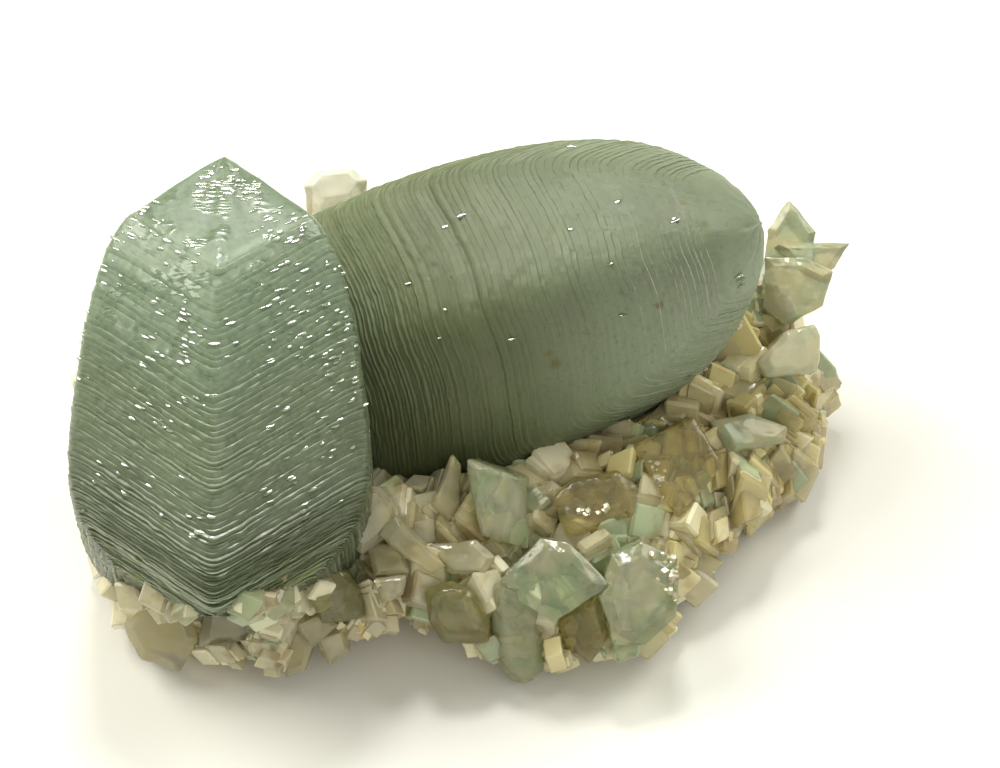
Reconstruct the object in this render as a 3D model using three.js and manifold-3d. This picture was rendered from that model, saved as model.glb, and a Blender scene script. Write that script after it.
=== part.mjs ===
// A calcite specimen: two large green barrel crystals, built up in ledges, on a tan crystalline matrix
// with a crowd of small rhombs round its front and right edges.
// Millimetres, +Z up, +X to the right and +Y away from the viewer. The origin is on the surface that
// the specimen rests on, under its middle.
import * as THREE from 'three';
import { mergeVertices } from 'three/addons/utils/BufferGeometryUtils.js';
import Module from 'manifold-3d';

const wasm = await Module();
wasm.setup();

// Driving dimensions, in millimetres and degrees.
const LOOK_DOWN = 50;           // the specimen is measured as seen from this far above the horizon
const MIDDLE_HEIGHT = 12;       // height of the point that those measures start from
const SEAT_GAP = 0.3;           // clearance between a crystal and the pocket that it sits in
const FACE_TILT = 44.6;         // angle between a calcite rhomb's face and the plane across its axis
const ROUNDING = 0.085;         // how much the barrel's flat sides are rounded out of a hexagon
const RING_POINTS = 18;         // corners round one ledge of a large crystal
const LEDGE_DEPTH = 0.34;       // how far a ledge stands out from the step above it
const UNEVENNESS = 0.14;        // how far a ledge's edge wanders in or out
const FLOOR_TRIM = 2;           // the large crystals end on the matrix, this far above the table
const MIDDLE = [0.05, 1.45];    // where the middle of the footprint lies in the measured layout

const radians = THREE.MathUtils.degToRad;
const facesFall = Math.tan(radians(FACE_TILT));

// A repeatable random number source, from 0 to 1.
function randomSource(seed) {
  let state = seed;
  return () => {
    state = (state + 0x6d2b79f5) | 0;
    let mixed = Math.imul(state ^ (state >>> 15), 1 | state);
    mixed = (mixed + Math.imul(mixed ^ (mixed >>> 7), 61 | mixed)) ^ mixed;
    return ((mixed ^ (mixed >>> 14)) >>> 0) / 4294967296;
  };
}

// A direction measured as seen by the viewer (right, up, toward the eye), in the part's frame.
function seenWay(right, up, toward) {
  return new THREE.Vector3(right, -toward, up).applyAxisAngle(new THREE.Vector3(1, 0, 0), radians(-LOOK_DOWN));
}

// A place measured in the same way from the middle of the view.
function seenPlace(right, up, toward) {
  return seenWay(right, up, toward).add(new THREE.Vector3(0, 0, MIDDLE_HEIGHT));
}

// A closed mesh's geometry as a manifold solid.
function solidOf(geometry) {
  const bare = geometry.index ? geometry.toNonIndexed() : geometry.clone();
  bare.deleteAttribute('normal');
  bare.deleteAttribute('uv');
  const merged = mergeVertices(bare, 1e-4);
  return new wasm.Manifold(new wasm.Mesh({
    numProp: 3,
    vertProperties: merged.attributes.position.array,
    triVerts: new Uint32Array(merged.index.array),
  }));
}

// A manifold solid as a three.js geometry.
function geometryOf(solid) {
  const mesh = solid.getMesh();
  const geometry = new THREE.BufferGeometry();
  geometry.setAttribute('position', new THREE.BufferAttribute(new Float32Array(mesh.vertProperties), 3));
  geometry.setIndex(new THREE.BufferAttribute(new Uint32Array(mesh.triVerts), 1));
  return geometry.toNonIndexed();
}

function joined(solids) {
  return solids.reduce((whole, piece) => whole.add(piece));
}

// A closed surface over rings of points that all have the same count, from a top point to a bottom point.
function skinOver(top, rings, bottom) {
  const count = rings[0].length;
  const points = [top, ...rings.flat(), bottom];
  const faces = [];
  const at = (ring, k) => 1 + ring * count + (k % count);
  for (let k = 0; k < count; k++) {
    faces.push(0, at(0, k), at(0, k + 1));
    for (let ring = 0; ring + 1 < rings.length; ring++) {
      faces.push(at(ring, k), at(ring + 1, k), at(ring + 1, k + 1));
      faces.push(at(ring, k), at(ring + 1, k + 1), at(ring, k + 1));
    }
    faces.push(points.length - 1, at(rings.length - 1, k + 1), at(rings.length - 1, k));
  }
  const geometry = new THREE.BufferGeometry().setFromPoints(points);
  geometry.setIndex(faces);
  return geometry;
}

// A big block that keeps what lies between two heights.
function slabBetween(low, high) {
  const block = new THREE.BoxGeometry(200, 200, high - low);
  block.translate(0, 0, (low + high) / 2);
  return solidOf(block);
}

// How far down the outside of one ledge lies: the three faces of a rhomb fall away from the axis, so a
// ledge zigzags, lowest at a face's middle and highest where two faces meet. Softness, in degrees, rounds
// the edge where they meet.
function ledgePoint(turn, radius, depth, softness) {
  const fold = 60 - Math.hypot(60 - Math.abs(THREE.MathUtils.euclideanModulo(turn + 60, 120) - 60), softness);
  const flat = 1 - ROUNDING * (1 - Math.cos(radians(6 * turn)));
  const reach = radius * flat;
  return new THREE.Vector3(
    reach * Math.cos(radians(turn)),
    reach * Math.sin(radians(turn)),
    -depth - facesFall * reach * Math.cos(radians(fold)),
  );
}

// A large crystal: a stack of rhombs, each wider or narrower than the last as its outline says, so that
// every one shows as a ledge. The tip is at the origin and the crystal hangs down -Z. With a clearance it is
// the plain outer shape, grown by that much, for cutting a pocket.
function barrelCrystal({ outline, ledges, seed, softness }, clearance = 0) {
  const random = randomSource(seed);
  const curve = new THREE.SplineCurve(outline.map(([depth, radius]) => new THREE.Vector2(depth, radius)));
  const last = outline[outline.length - 1][0];
  const steps = clearance ? 14 : ledges;
  const radiusAt = (depth) => {
    let low = 0;
    let high = 1;
    for (let k = 0; k < 24; k++) {
      const middle = (low + high) / 2;
      if (curve.getPoint(middle).x < depth) low = middle;
      else high = middle;
    }
    return curve.getPoint(low).y;
  };
  const ring = (depth, radius, uneven) => Array.from({ length: RING_POINTS }, (_, k) => {
    const turn = (360 / RING_POINTS) * k;
    return ledgePoint(turn, radius * (1 + (uneven ? uneven[k] : 0)), depth, softness);
  });
  const rings = [];
  for (let k = 0; k < steps; k++) {
    const depth = (last * k) / steps;
    const next = (last * (k + 1)) / steps;
    if (clearance) {
      const rise = 1.8 * clearance * Math.cos((Math.PI * k) / steps);
      rings.push(ring(depth - rise, radiusAt(depth) + 1.4 * clearance + UNEVENNESS));
      continue;
    }
    const uneven = Array.from({ length: RING_POINTS }, () => 2 * UNEVENNESS * (random() - 0.5) / radiusAt(depth));
    rings.push(ring(depth, radiusAt(depth), uneven));
    rings.push(ring(next, radiusAt(depth) - LEDGE_DEPTH * (0.8 + 0.4 * random()), uneven));
  }
  rings.push(ring(last + 2.5 * clearance, radiusAt(last) + (clearance && 1.4 * clearance + UNEVENNESS)));
  const lift = clearance * 2;
  const foot = last + 3 * clearance + 0.6 * facesFall * radiusAt(last);
  return skinOver(new THREE.Vector3(0, 0, lift), rings, new THREE.Vector3(0, 0, -foot));
}

// Turns a crystal made along Z so that its axis points along `axis` and a face's middle, or `spin` degrees
// round from it, is toward the viewer, and puts its tip in place.
function stand(geometry, { tip, axis, spin }) {
  const up = seenWay(...axis).normalize();
  const toEye = seenWay(0, 0, 1);
  const front = toEye.sub(up.clone().multiplyScalar(toEye.dot(up))).normalize();
  front.applyAxisAngle(up, radians(-spin));
  const side = new THREE.Vector3().crossVectors(up, front);
  const place = new THREE.Matrix4().makeBasis(front, side, up).setPosition(seenPlace(...tip));
  return geometry.applyMatrix4(place);
}

// The two large crystals. An outline gives, for depths below the tip, the radius at a ledge's corners.
const LEFT_CRYSTAL = {
  outline: [[0, 8.8], [2.9, 10.4], [9.2, 12.1], [15, 12.8], [19, 12.2], [22.5, 9.8], [25, 7]],
  ledges: 28,
  seed: 11,
  tip: [-17.6, 19.7, 8.5],
  axis: [0.01, 0.995, 0.105],
  spin: 0,
  softness: 2,
};
const RIGHT_CRYSTAL = {
  outline: [[0, 8.1], [1.4, 10.1], [4.2, 12], [10, 13.6], [18, 13.6], [25, 12.6], [31, 9.5]],
  ledges: 27,
  seed: 23,
  tip: [22.8, 15, 2.8],
  axis: [0.882, 0.286, 0.375],
  spin: 60,
  softness: 9,
};

// A small crystal: an outline as seen (right, up) on a plane that lies `toward` the eye at the outline's
// middle and slopes as given to the right and up. Its body runs back from there by `back`, and its face has a
// low crown. The outline is hull-shaped, as a crystal's is.
function smallCrystal({ outline, toward, slope = [0, 0], back = [0, 0, -4], crown = 0.35 }, clearance = 0) {
  const middle = outline.reduce((sum, [right, up]) => [sum[0] + right, sum[1] + up], [0, 0])
    .map((sum) => sum / outline.length);
  const layer = (share, rise, [leanRight, leanUp]) => outline.map(([right, up]) => {
    const [across, along] = [right - middle[0], up - middle[1]];
    const grown = share + (1.5 * clearance) / Math.hypot(across, along);
    return seenPlace(
      middle[0] + across * grown + leanRight,
      middle[1] + along * grown + leanUp,
      toward + across * slope[0] + along * slope[1] + rise,
    );
  });
  const points = [
    ...layer(0.72, crown + clearance, [0, 0]),
    ...layer(1, 0, [0, 0]),
    ...layer(0.92, back[2] - clearance, back),
  ];
  return wasm.Manifold.hull(points.map((point) => point.toArray()));
}

// A stubby six-sided crystal with a domed end, from its root to its end, both measured as seen.
function stubbyPrism({ root, end, wide, deep }, clearance = 0) {
  const from = seenPlace(...root);
  const to = seenPlace(...end);
  const axis = to.clone().sub(from);
  const length = axis.length();
  const profile = [[0.86, 0], [1, 0.16], [1, 0.62], [0.86, 0.84], [0.52, 0.97]];
  const rings = profile.map(([share, along]) => Array.from({ length: 8 }, (_, k) => {
    const turn = radians(45 * k + 22.5);
    return new THREE.Vector3(
      (wide / 2 + clearance) * share * Math.cos(turn),
      (deep / 2 + clearance) * share * Math.sin(turn),
      -along * length,
    );
  }));
  const reach = length + clearance;
  const geometry = skinOver(new THREE.Vector3(0, 0, clearance), rings, new THREE.Vector3(0, 0, -reach));
  const up = axis.clone().normalize().negate();
  const side = seenWay(1, 0, 0).sub(up.clone().multiplyScalar(up.x)).normalize();
  const front = new THREE.Vector3().crossVectors(up, side);
  geometry.applyMatrix4(new THREE.Matrix4().makeBasis(side, front, up).setPosition(from));
  return solidOf(geometry);
}

// The small crystals that can be told apart. Each is one node: overlapping crystals are joined in one.
const SMALL_CRYSTALS = {
  blue_rhomb: [
    { outline: [[0.5, -3], [4.7, -4.5], [5.1, -9.8], [1.6, -8.7]], toward: 4.2, slope: [-0.25, 0.1],
      back: [0.7, 0.3, -4.5], crown: 0.1 },
  ],
  wedge_crystal: [
    { outline: [[-2.1, -6.3], [-0.6, -2.7], [0, -3.4], [-0.3, -8.4]], toward: 3, slope: [-0.5, 0.3] },
  ],
  honey_rhomb: [
    { outline: [[7.2, -5.9], [8.8, -4.6], [12, -4], [13.4, -5.1], [13.2, -7.1], [10.2, -8.5], [8.2, -8.9]],
      toward: 2.9, slope: [0.1, -0.2], back: [-0.3, 0.3, -4.2] },
  ],
  centre_rhomb: [
    { outline: [[3.2, -12.1], [6.1, -9], [8.1, -9.3], [11.2, -12.4], [7, -15.1], [4.2, -13.4]],
      toward: 6.1, slope: [0.15, -0.1], back: [0, 0.2, -5] },
  ],
  front_rhomb: [
    { outline: [[-2.6, -12.9], [-0.7, -12.2], [1, -13], [2.2, -15.2], [2.1, -16.8], [-1.2, -16.8], [-2.3, -15.2]],
      toward: 5.2, slope: [-0.1, 0.15], crown: 0.6 },
  ],
  amber_rhomb: [
    { outline: [[7.3, -15.4], [10.3, -13.3], [11.2, -16.4], [9.8, -18.4], [8.2, -17.2]],
      toward: 4.7, slope: [0.1, 0.2], back: [0, 0.4, -3.6] },
  ],
  corner_rhomb: [
    { outline: [[10.6, -13.2], [11.5, -10.2], [13.7, -9.3], [16.3, -10.5], [16.2, -14.8], [13.9, -16.9],
      [11.7, -16.8]], toward: 6.3, slope: [-0.1, 0.1], back: [-0.2, 0.4, -5.4], crown: 0.6 },
    { outline: [[11.4, -17.6], [13.7, -16.5], [13.4, -17.8], [11.9, -18.3]], toward: 5.6, back: [0, 0.8, -3] },
  ],
  right_rhomb: [
    { outline: [[13.3, -2.2], [18, 0.1], [20.1, -3.5], [16.6, -7.4]], toward: 0.6, slope: [-0.1, -0.3],
      back: [0, 0.4, -4], crown: 0.1 },
  ],
  right_slab: [
    { outline: [[19.5, -0.2], [22.7, 0.4], [25.4, -0.6], [25.1, -1.6], [20.9, -2.6]], toward: -2.7,
      slope: [-0.2, -0.4], back: [-0.2, 0, -4] },
  ],
  edge_rhomb: [
    { outline: [[23.4, 4.5], [25.6, 6.9], [27.8, 7.4], [28.2, 6.6], [28, 3.8], [24, 3.4]], toward: -5.4,
      slope: [-0.2, 0], back: [-0.6, -0.2, -4] },
  ],
  blade_cluster: [
    { outline: [[24.4, 15], [26, 17.2], [28, 14.8], [27.5, 12.4], [24.2, 12.4]], toward: -7.9,
      slope: [0.1, -0.1], back: [0, -1.6, -2.4] },
    { outline: [[25.1, 13.8], [30.7, 13.9], [29.4, 12.1], [27.8, 10.9], [26.6, 12]], toward: -7.2,
      slope: [-0.15, 0], back: [-1, -0.6, -2.6] },
    { outline: [[24, 12.7], [27, 12.7], [29.1, 11.6], [28.4, 9], [25.7, 7.6], [24, 9]], toward: -6.2,
      slope: [0.1, 0.1], back: [-0.2, -0.4, -4.4] },
  ],
  foot_rhomb: [
    { outline: [[-25.6, -15.7], [-24.8, -13.8], [-21.2, -13.3], [-19.9, -16.7], [-21.4, -19.1], [-24.2, -18.1]],
      toward: 3.4, slope: [0.05, 0.1], crown: 0.7 },
  ],
  foot_block: [
    { outline: [[-19, -12.9], [-15.4, -13.3], [-15.2, -14.9], [-15.9, -16.6], [-19.7, -17.1]], toward: 3.9,
      slope: [-0.1, 0], crown: 0.6 },
  ],
  rim_chip: [
    { outline: [[-27.4, -11.3], [-26.6, -10.9], [-25.4, -13], [-25.9, -14], [-26.7, -13.6]], toward: 1.6 },
  ],
  block_cluster: [
    { outline: [[-13.9, -16.3], [-12.2, -15.8], [-11.3, -17.1], [-11.8, -18.9], [-13.1, -19.4], [-14, -18.3]],
      toward: 3.6, slope: [0.2, 0.1], back: [0.4, 0.8, -2.6] },
    { outline: [[-12.6, -15.4], [-10.6, -14.6], [-9.4, -15.6], [-11.4, -17.4]], toward: 3.9, slope: [-0.2, 0.2],
      back: [0, 0.6, -3] },
    { outline: [[-10.9, -16.6], [-8.9, -15.9], [-8.5, -17.5], [-9.9, -18.5]], toward: 3.3, back: [0, 0.8, -2.8] },
  ],
  grey_rhomb: [
    { outline: [[-11.3, -10.2], [-8.5, -11.5], [-7.2, -13.4], [-7.4, -14.9], [-10.3, -15.2], [-11.5, -13.2]],
      toward: 5.7, slope: [-0.3, 0], back: [-0.2, 0.4, -4.4], crown: 0.5 },
  ],
  white_fan: [
    { outline: [[-9.6, -6.2], [-8.5, -5.1], [-6, -5.1], [-4.8, -6.6], [-4.6, -8.2], [-7.4, -10.1], [-9.2, -8.5]],
      toward: 5.6, slope: [-0.2, 0.05], back: [0.4, 0, -4.4], crown: 0.8 },
    { outline: [[-4.9, -7.4], [-3, -9.4], [-1.2, -11], [-2, -11.6], [-4.6, -9.9], [-6, -8.6]], toward: 5.9,
      slope: [-0.1, 0.3], back: [0, 0.3, -4] },
    { outline: [[-7, -9.4], [-4.6, -9.4], [-4, -11.4], [-6.4, -11.7]], toward: 5.2, slope: [0.1, -0.3] },
  ],
  fan_block: [
    { outline: [[-6.4, -12.1], [-4.2, -11.8], [-4.4, -13.1], [-5.8, -13.9]], toward: 6, back: [0, 0.3, -3.6] },
  ],
  pink_crystal: [
    { outline: [[-2.8, -9.6], [1.2, -9.2], [2.6, -10.4], [1.8, -11.5], [-0.6, -11.6]], toward: 4.9,
      slope: [0.1, -0.2] },
  ],
  back_crystal: [
    { outline: [[-12.3, 18.5], [-11.3, 19.7], [-8.6, 19.9], [-7.5, 19], [-8.4, 17.5], [-11, 17.1]],
      toward: -9.6, back: [0, -2.6, -3.4], crown: 0.6 },
  ],
  side_crystal: [
    { outline: [[-30.6, 3.3], [-29.6, 4.2], [-27.5, 2.6], [-27.5, 0.4], [-29.9, 1.2]], toward: -6,
      back: [0.6, -1, -3] },
  ],
};
const FRONT_PRISM = { root: [4.2, -12.2, 4.4], end: [4.9, -19.9, 1.9], wide: 4.1, deep: 3.8 };

// The matrix's rim, seen from above, going round from the front left corner (x, y).
const RIM = [
  [-25.5, -12.5], [-20, -15], [-12, -14.2], [-5, -12.6], [0, -14.6], [5, -16.2], [11, -15], [16, -11],
  [18.6, -6.2], [22.8, -2.6], [27, 2.5], [28.4, 8], [27, 14], [22, 18], [13, 19], [3, 18.6], [-5, 21.6],
  [-13, 21.8], [-21.5, 16], [-26, 10], [-28, 2], [-27, -6],
];
const RIM_POINTS = 36;
// Rings of the matrix from its middle out over the top, down the side and in under it: the share of the rim's
// reach, the share of the local height, and how rough the ring is.
const MATRIX_RINGS = [
  [0.22, 1, 0.5], [0.44, 1, 0.7], [0.64, 1, 0.8], [0.8, 1, 0.8], [0.92, 0.86, 0.7], [1, 0.6, 0.5],
  [0.98, 0.3, 0.5], [0.9, 0, 0], [0.6, 0, 0],
];

// The height of the matrix's top over a point.
function matrixHeight(x, y) {
  const swell = (cx, cy, wide, tall) => tall * Math.exp(-((x - cx) ** 2 + (y - cy) ** 2) / (wide * wide));
  return 5.4 + swell(-16, 15, 9, 7) + swell(22, 13, 9, 5) + swell(2, -1, 9, 3.4) + swell(17, -3, 7, 2.4)
    + swell(2, 18, 8, 3) + swell(-9.5, 20.5, 4, 5);
}

function matrixSlab() {
  const random = randomSource(5);
  const rim = new THREE.CatmullRomCurve3(RIM.map(([x, y]) => new THREE.Vector3(x, y, 0)), true);
  const corners = rim.getSpacedPoints(RIM_POINTS).slice(0, RIM_POINTS);
  const rings = MATRIX_RINGS.map(([share, tall, rough]) => corners.map((corner) => {
    const x = corner.x * share + rough * 1.6 * (random() - 0.5);
    const y = corner.y * share + rough * 1.6 * (random() - 0.5);
    const z = tall * (matrixHeight(x, y) + rough * 2.2 * (random() - 0.5));
    return new THREE.Vector3(x, y, z);
  }));
  const top = new THREE.Vector3(0, 0, matrixHeight(0, 0));
  return solidOf(skinOver(top, rings, new THREE.Vector3(0, 0, 0)));
}

// Small rhombs with any lean, fused into the matrix: round its rim, over its bare ground and at its back.
const DRUSE = [
  { count: 34, from: 0, to: 1, reach: [0.9, 1.0], size: [2.2, 4.4], lift: [0.25, 0.75], seed: 31 },
  { count: 10, from: 0.42, to: 0.8, reach: [0.72, 0.92], size: [3, 5.4], lift: [0.7, 1.0], seed: 32 },
  { count: 16, from: 0.05, to: 0.42, reach: [0.45, 0.86], size: [1.6, 3.2], lift: [0.9, 1.05], seed: 33 },
];

function druse({ count, from, to, reach, size, lift, seed }) {
  const random = randomSource(seed);
  const between = ([low, high]) => low + (high - low) * random();
  const rim = new THREE.CatmullRomCurve3(RIM.map(([x, y]) => new THREE.Vector3(x, y, 0)), true);
  return Array.from({ length: count }, (_, k) => {
    const corner = rim.getPointAt((from + ((to - from) * (k + 0.6 * random())) / count) % 1);
    const share = between(reach);
    const [x, y] = [corner.x * share, corner.y * share];
    const inFront = y < -10.5 && x > -2 && x < 14;
    const place = new THREE.Vector3(x, y, matrixHeight(x, y) * between(lift));
    const turn = new THREE.Quaternion().setFromEuler(
      new THREE.Euler(6.283 * random(), 6.283 * random(), 6.283 * random()));
    const long = between(size) * (inFront ? 0.3 : 1);
    const shear = new THREE.Matrix4().makeBasis(
      new THREE.Vector3(long, 0, 0),
      new THREE.Vector3(0.2 * long, 0.97 * long, 0),
      new THREE.Vector3(0.12 * long, 0.12 * long, long * (0.5 + 0.5 * random())));
    const box = new THREE.BoxGeometry(1, 1, 1);
    box.applyMatrix4(shear);
    box.applyQuaternion(turn);
    box.translate(place.x, place.y, place.z);
    return solidOf(box);
  });
}

// The hollow under the front edge, which lifts it off the table between two feet.
const ARCHES = [
  { at: [-7, -15.5, -0.6], reach: [8.5, 9, 3.4] },
  { at: [20, -9, -0.6], reach: [9, 8, 3.0] },
];

function arch({ at, reach }) {
  const hollow = new THREE.SphereGeometry(1, 14, 9);
  hollow.scale(...reach);
  hollow.translate(...at);
  return solidOf(hollow);
}

function largeCrystal(which, clearance = 0) {
  return solidOf(stand(barrelCrystal(which, clearance), which));
}

// The left crystal's lower right flank is a contact face, where the druse grew against it: a block whose
// corner edge lies along that face and which is taken away.
const CONTACT = { through: [-6.2, -2.6, 8], along: [0.613, 0.79, 0], outward: [0.74, -0.574, -0.35] };

function contactBlock(clearance = 0) {
  const along = seenWay(...CONTACT.along).normalize();
  const outward = seenWay(...CONTACT.outward).normalize();
  const side = new THREE.Vector3().crossVectors(along, outward);
  const block = new THREE.BoxGeometry(60, 20, 60);
  block.translate(0, 10 + clearance, 0);
  block.applyMatrix4(new THREE.Matrix4().makeBasis(along, outward, side).setPosition(seenPlace(...CONTACT.through)));
  return solidOf(block);
}

// Every solid, by its name. A crystal is cut by those that it grew against, with the seat gap between them.
function specimenSolids() {
  const aboveFloor = slabBetween(FLOOR_TRIM, 100);
  const aboveTable = slabBetween(0, 100);
  const pocketFloor = slabBetween(FLOOR_TRIM - SEAT_GAP, 100);
  const leftPocket = largeCrystal(LEFT_CRYSTAL, SEAT_GAP).subtract(contactBlock(SEAT_GAP));
  const rightPocket = largeCrystal(RIGHT_CRYSTAL, SEAT_GAP);
  const solids = {
    left_crystal: largeCrystal(LEFT_CRYSTAL).intersect(aboveFloor).subtract(contactBlock()),
    right_crystal: largeCrystal(RIGHT_CRYSTAL).intersect(aboveFloor).subtract(leftPocket),
  };
  let taken = leftPocket.intersect(pocketFloor).add(rightPocket.intersect(pocketFloor));
  const settle = (name, shape, room) => {
    solids[name] = shape.intersect(aboveTable).subtract(taken);
    taken = taken.add(room);
  };
  settle('front_prism', stubbyPrism(FRONT_PRISM), stubbyPrism(FRONT_PRISM, SEAT_GAP));
  for (const [name, group] of Object.entries(SMALL_CRYSTALS)) {
    settle(name, joined(group.map((one) => smallCrystal(one))), joined(group.map((one) => smallCrystal(one, SEAT_GAP))));
  }
  const lumps = DRUSE.flatMap(druse);
  const hollows = joined(ARCHES.map(arch));
  solids.matrix = joined([matrixSlab(), ...lumps]).intersect(aboveTable).subtract(hollows).subtract(taken);
  return solids;
}

// The largest closed body of a solid: booleans can shave off loose chips.
function mainBody(solid) {
  return solid.decompose().reduce((best, body) => (body.volume() > best.volume() ? body : best));
}

const GREEN = { color: 0x8fa58c, roughness: 0.35, metalness: 0 };
const PALE_GREEN = { color: 0xa9b89c, roughness: 0.3, metalness: 0 };
const HONEY = { color: 0xb09a63, roughness: 0.25, metalness: 0 };
const WHITE = { color: 0xcfc4ac, roughness: 0.35, metalness: 0 };
const TAN = { color: 0x9a8658, roughness: 0.6, metalness: 0 };
const FINISHES = {
  left_crystal: GREEN, right_crystal: GREEN, matrix: TAN, honey_rhomb: HONEY, amber_rhomb: HONEY,
  white_fan: WHITE, block_cluster: WHITE, back_crystal: WHITE, side_crystal: WHITE,
};

const specimen = new THREE.Group();
for (const [name, solid] of Object.entries(specimenSolids())) {
  const finish = new THREE.MeshStandardMaterial(FINISHES[name] ?? PALE_GREEN);
  const centred = mainBody(solid).translate([-MIDDLE[0], -MIDDLE[1], 0]);
  const mesh = new THREE.Mesh(geometryOf(centred), finish);
  mesh.name = name;
  specimen.add(mesh);
}

export default specimen;
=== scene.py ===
"""A calcite specimen: two large green barrel crystals built up in ledges, on a tan druse of small rhombs."""
import math

import bpy
import numpy as np
from bpy.props import FloatProperty, FloatVectorProperty, IntProperty, PointerProperty
from mathutils import Matrix, Vector
from mathutils.bvhtree import BVHTree


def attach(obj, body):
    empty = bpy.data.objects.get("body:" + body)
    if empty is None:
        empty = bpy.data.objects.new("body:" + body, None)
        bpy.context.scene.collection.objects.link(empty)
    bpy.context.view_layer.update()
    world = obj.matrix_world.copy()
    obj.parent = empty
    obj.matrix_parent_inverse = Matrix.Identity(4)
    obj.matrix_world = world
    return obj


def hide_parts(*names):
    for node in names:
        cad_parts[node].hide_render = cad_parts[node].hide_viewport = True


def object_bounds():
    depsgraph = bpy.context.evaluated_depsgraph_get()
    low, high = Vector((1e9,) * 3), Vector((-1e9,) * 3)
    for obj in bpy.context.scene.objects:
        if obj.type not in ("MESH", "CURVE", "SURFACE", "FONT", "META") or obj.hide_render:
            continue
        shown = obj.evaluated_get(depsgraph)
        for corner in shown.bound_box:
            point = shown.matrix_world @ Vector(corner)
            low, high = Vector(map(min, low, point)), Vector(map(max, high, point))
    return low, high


bl_info = {
    "name": "Calcite specimen",
    "version": (1, 0, 0),
    "blender": (4, 5, 0),
    "location": "3D View > Sidebar > Specimen",
    "description": "Builds a green calcite specimen on its druse",
    "category": "Add Mesh",
}

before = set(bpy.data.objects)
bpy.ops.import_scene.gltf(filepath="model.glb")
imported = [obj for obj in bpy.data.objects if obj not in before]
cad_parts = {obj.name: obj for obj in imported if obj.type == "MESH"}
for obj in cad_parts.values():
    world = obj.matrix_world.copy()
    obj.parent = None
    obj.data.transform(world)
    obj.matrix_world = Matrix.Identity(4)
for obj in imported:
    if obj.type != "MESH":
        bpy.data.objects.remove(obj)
CAD_BOX = [list(corner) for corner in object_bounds()]
MM = 0.001

# The specimen is measured as seen from this far above the horizon, from a point over the middle of it.
LOOK_DOWN = math.radians(50)
CENTRE = Vector((0, 0, 12 * MM))
MIDDLE = Vector((0.05 * MM, 1.45 * MM, 0))
# The angle between a calcite rhomb's face and the plane across its axis gives how far its faces fall.
FACES_FALL = math.tan(math.radians(44.6))
# Points of a mesh that lie nearer together than this are one point.
CLOSE = 0.002 * MM


def seen_way(right, up, toward):
    """A direction measured as the camera sees it, in the frame's axes."""
    return Matrix.Rotation(-LOOK_DOWN, 3, "X") @ Vector((right, -toward, up))


def seen_place(right, up, toward):
    """A place measured in the same way in millimetres, in metres in the frame."""
    return seen_way(right, up, toward) * MM + CENTRE - MIDDLE


# The photograph's size in pixels, the pixel that shows the point over the middle, how many pixels cover a
# millimetre there, and how many millimetres away the eye is.
PHOTO_WIDE, PHOTO_HIGH = 1000, 768
MIDDLE_ACROSS, MIDDLE_DOWN = 460, 420
PIXELS_PER_MM = 13
EYE_AWAY = 300
EYE = CENTRE - MIDDLE + seen_way(0, 0, 1) * (EYE_AWAY * MM)
# The lamp that the ledges and crusts glint under.
GLINT_LAMP = CENTRE + Vector((-0.05, 0.5, 0.866)) * 0.9


# The two large crystals, in millimetres and degrees.
# outline: the radius at depths below the tip.
# tip, axis and spin: where the tip is and how the crystal stands, as seen.
# softness, corner and blunt: how round the edges of the top faces, the six corners and the tip are.
# pitch and tread: the height of a ledge, and how far it is set back.
# ragged: how far the ledges wander.
# calm: the share of a ledge that is filled up. lee, faint: how much more at the left, and below the tip.
LARGE = {
    "left_crystal": {
        "outline": [(0, 7.9), (0.3, 8.6), (0.9, 9.3), (3, 10.5), (9.2, 12.2), (15, 12.9), (19, 12.4),
                    (22.5, 10.8), (25, 9.4), (28, 7.2), (31, 4.6)],
        "tip": (-17.6, 19.7, 8.5),
        "axis": (0.01, 0.995, 0.105),
        "spin": 0,
        "softness": 4,
        "corner": 3,
        "blunt": 0.3,
        "pitch": 0.35,
        "tread": 0.105,
        "ragged": 0.033,
        "calm": 0.5,
        "lee": 0.2,
        "faint": 0.3,
    },
    "right_crystal": {
        "outline": [(0, 5.6), (0.5, 8.2), (1.3, 10.0), (2.4, 11.2), (4.6, 12.5), (10, 13.8), (18, 13.8),
                    (25, 12.8), (31, 9.5)],
        "tip": (22.8, 15, 2.8),
        "axis": (0.882, 0.286, 0.375),
        "spin": 60,
        "softness": 18,
        "corner": 9,
        "blunt": 4.2,
        "pitch": 0.38,
        "tread": 0.085,
        "ragged": 0.026,
        "calm": 0.16,
        "lee": 0,
        "faint": 0,
    },
}
# Both end in a flat cut this high over the table, and the steep one ends at this height as seen.
FLOOR_TRIM = 2 * MM
STEEP_FOOT = -14.3
# Edges of the large crystals sharper than this stay sharp.
LEDGE_EDGES = math.radians(24)
# How much the ledges differ from each other, as shares of the pitch and the tread.
PITCH_RANGE = (0.7, 1.3)
TREAD_RANGE = (0.6, 1.4)
JUT_RANGE = (-0.4, 0.9)
# How much the calm stretches vary and how far they go, and the depth below the tip at which faint ends.
CALM_SWING = 0.28
CALM_RANGE = (0.05, 0.9)
FAINT_DEPTH = 3.5 * MM
# The hexagon's width across its flats, as a share of the ring that it is made from.
FLATS = 0.872
# The radius where a blunt tip has fallen as far as a sharp one, how uneven the top faces are, and how far
# down the tip's colour reaches: partly its own tint, partly painted light shining through its end.
BLUNT_REACH = 13 * MM
TOP_SWELL = 0.05 * MM
TIP_TINT_AND_LIGHT_REACH = 9 * MM


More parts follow.
